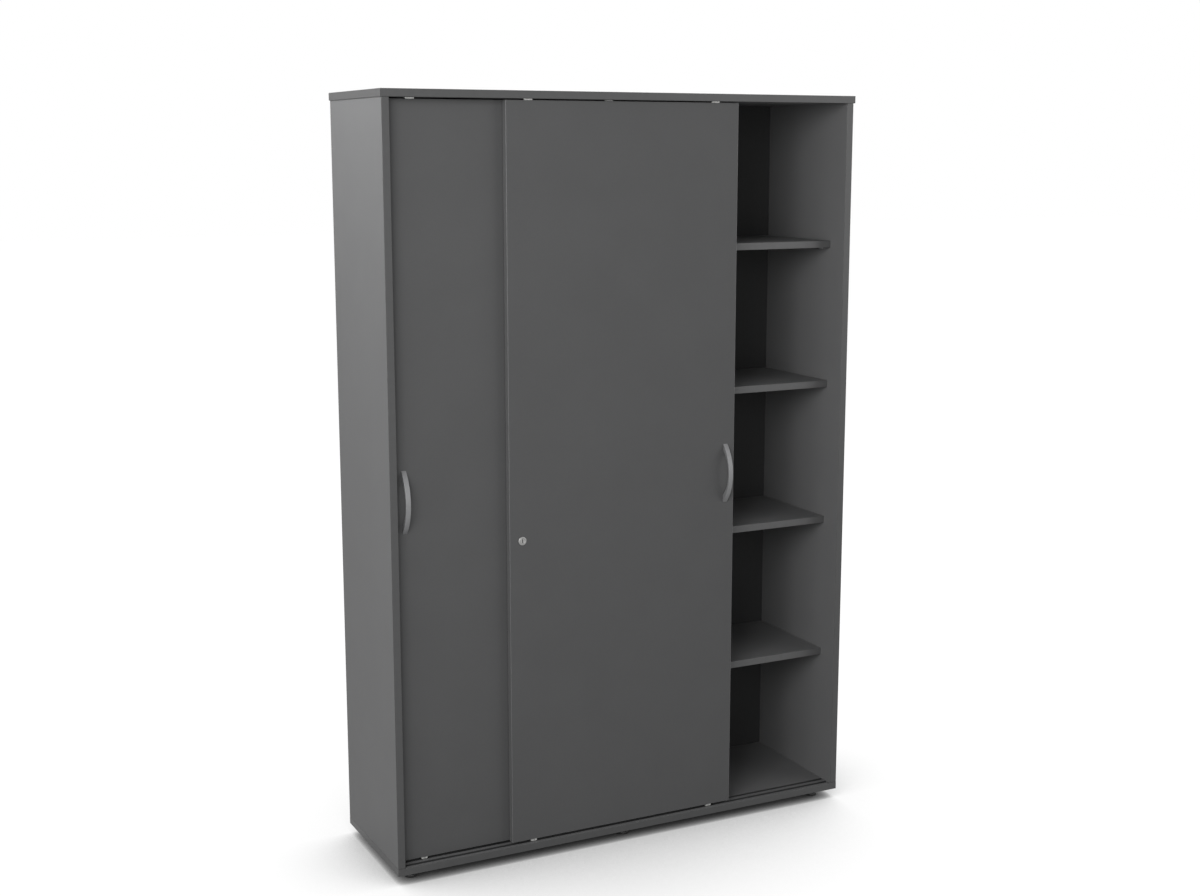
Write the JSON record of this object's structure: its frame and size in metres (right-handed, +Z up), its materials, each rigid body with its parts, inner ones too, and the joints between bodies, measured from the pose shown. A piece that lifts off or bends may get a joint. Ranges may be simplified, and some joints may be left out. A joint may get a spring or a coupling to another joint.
{
  "type": "sliding door cabinet",
  "caption": "Tall sliding door cabinet for files, with shelves in two bays, doors that pass each other on rollers, bow handles and a cylinder lock.",
  "frame": {"origin": "on the floor, at the centre of the bounding box's underside, midway between the front of the handles and the rear plane", "axes": "+X to the right seen from the front, +Y from the front to the back, +Z up"},
  "size_m": [1.256, 0.386, 1.86],
  "materials": {
    "board": "particle board with anthracite grey melamine faces and matching edge bands, fine matt grain",
    "back": "thin hard fibreboard, lacquered dark grey, matt",
    "track": "extruded plastic, black, satin",
    "nylon": "moulded nylon, off-white, low gloss",
    "steel": "zinc plated steel, bright",
    "handle": "cast zinc with a satin silver grey coat",
    "lock": "nickel plated, satin, with a bright bevel",
    "foot": "moulded plastic, black, matt"
  },
  "bodies": {
    "carcass": {"bottom_panel": "board", "top_panel": "board", "side_panel_left": "board", "side_panel_right": "board", "centre_partition": "board", "back_panel": "back", "shelf_left_1": "board", "shelf_left_2": "board", "shelf_left_3": "board", "shelf_left_4": "board", "shelf_right_1": "board", "shelf_right_2": "board", "shelf_right_3": "board", "shelf_right_4": "board", "bottom_track_front": "track", "bottom_track_rear": "track", "top_track_front": "track", "top_track_rear": "track"},
    "rear_door": {"door_panel_rear": "board", "handle_rear": "handle", "handle_screw_rear_lower": "steel", "handle_screw_rear_upper": "steel", "roller_housing_rear_left": "nylon", "roller_housing_rear_right": "nylon", "roller_axle_rear_left": "steel", "roller_axle_rear_right": "steel", "guide_housing_rear_left": "nylon", "guide_housing_rear_right": "nylon", "guide_spring_rear_left": "steel", "guide_spring_rear_right": "steel"},
    "front_door": {"door_panel_front": "board", "handle_front": "handle", "handle_screw_front_lower": "steel", "handle_screw_front_upper": "steel", "roller_housing_front_left": "nylon", "roller_housing_front_right": "nylon", "roller_axle_front_left": "steel", "roller_axle_front_right": "steel", "guide_housing_front_left": "nylon", "guide_housing_front_right": "nylon", "guide_spring_front_left": "steel", "guide_spring_front_right": "steel", "lock_barrel": "lock", "lock_bolt": "steel"},
    "wheel_rear_left": {"roller_rear_left": "nylon"},
    "wheel_rear_right": {"roller_rear_right": "nylon"},
    "wheel_front_left": {"roller_front_left": "nylon"},
    "wheel_front_right": {"roller_front_right": "nylon"},
    "tongue_rear_left": {"guide_tongue_rear_left": "nylon"},
    "tongue_rear_right": {"guide_tongue_rear_right": "nylon"},
    "tongue_front_left": {"guide_tongue_front_left": "nylon"},
    "tongue_front_right": {"guide_tongue_front_right": "nylon"},
    "core": {"lock_core": "lock"},
    "levelling_front_left": {"foot_front_left": "foot"},
    "levelling_front_middle": {"foot_front_middle": "foot"},
    "levelling_front_right": {"foot_front_right": "foot"},
    "levelling_rear_left": {"foot_rear_left": "foot"},
    "levelling_rear_middle": {"foot_rear_middle": "foot"},
    "levelling_rear_right": {"foot_rear_right": "foot"}
  },
  "joints": [
    {"name": "rear_door_slide", "type": "slide", "parent": "carcass", "child": "rear_door", "axis": [1, 0, 0], "range_m": [0, 0.245]},
    {"name": "front_door_slide", "type": "slide", "parent": "carcass", "child": "front_door", "axis": [1, 0, 0], "range_m": [-0.245, 0.314]},
    {"name": "wheel_rear_left_roll", "type": "hinge", "parent": "rear_door", "child": "wheel_rear_left", "pos_m": [-0.546, -0.1325, 0.047], "axis": [0, 1, 0], "range_deg": [-10, 1760]},
    {"name": "wheel_rear_right_roll", "type": "hinge", "parent": "rear_door", "child": "wheel_rear_right", "pos_m": [-0.048, -0.1325, 0.047], "axis": [0, 1, 0], "range_deg": [-10, 1760]},
    {"name": "wheel_front_left_roll", "type": "hinge", "parent": "front_door", "child": "wheel_front_left", "pos_m": [-0.266, -0.154, 0.047], "axis": [0, 1, 0], "range_deg": [-1760, 2255]},
    {"name": "wheel_front_right_roll", "type": "hinge", "parent": "front_door", "child": "wheel_front_right", "pos_m": [0.232, -0.154, 0.047], "axis": [0, 1, 0], "range_deg": [-1760, 2255]},
    {"name": "tongue_rear_left_press", "type": "slide", "parent": "rear_door", "child": "tongue_rear_left", "axis": [0, 0, -1], "range_m": [0, 0.008], "stiffness_N_per_m": 400, "springref_m": -0.008, "deforming": ["guide_spring_rear_left"]},
    {"name": "tongue_rear_right_press", "type": "slide", "parent": "rear_door", "child": "tongue_rear_right", "axis": [0, 0, -1], "range_m": [0, 0.008], "stiffness_N_per_m": 400, "springref_m": -0.008, "deforming": ["guide_spring_rear_right"]},
    {"name": "tongue_front_left_press", "type": "slide", "parent": "front_door", "child": "tongue_front_left", "axis": [0, 0, -1], "range_m": [0, 0.008], "stiffness_N_per_m": 400, "springref_m": -0.008, "deforming": ["guide_spring_front_left"]},
    {"name": "tongue_front_right_press", "type": "slide", "parent": "front_door", "child": "tongue_front_right", "axis": [0, 0, -1], "range_m": [0, 0.008], "stiffness_N_per_m": 400, "springref_m": -0.008, "deforming": ["guide_spring_front_right"]},
    {"name": "key_turn", "type": "hinge", "parent": "front_door", "child": "core", "pos_m": [-0.293, -0.154, 0.808], "axis": [0, 1, 0], "range_deg": [0, 90]},
    {"name": "foot_front_left_screw", "type": "slide", "parent": "carcass", "child": "levelling_front_left", "axis": [0, 0, -1], "range_m": [0, 0.008]},
    {"name": "foot_front_middle_screw", "type": "slide", "parent": "carcass", "child": "levelling_front_middle", "axis": [0, 0, -1], "range_m": [0, 0.008]},
    {"name": "foot_front_right_screw", "type": "slide", "parent": "carcass", "child": "levelling_front_right", "axis": [0, 0, -1], "range_m": [0, 0.008]},
    {"name": "foot_rear_left_screw", "type": "slide", "parent": "carcass", "child": "levelling_rear_left", "axis": [0, 0, -1], "range_m": [0, 0.008]},
    {"name": "foot_rear_middle_screw", "type": "slide", "parent": "carcass", "child": "levelling_rear_middle", "axis": [0, 0, -1], "range_m": [0, 0.008]},
    {"name": "foot_rear_right_screw", "type": "slide", "parent": "carcass", "child": "levelling_rear_right", "axis": [0, 0, -1], "range_m": [0, 0.008]}
  ],
  "couplings": [
    {"joint": "wheel_rear_left_roll", "follows": "rear_door_slide", "rad_per_m": 125},
    {"joint": "wheel_rear_right_roll", "follows": "rear_door_slide", "rad_per_m": 125},
    {"joint": "wheel_front_left_roll", "follows": "front_door_slide", "rad_per_m": 125},
    {"joint": "wheel_front_right_roll", "follows": "front_door_slide", "rad_per_m": 125}
  ]
}
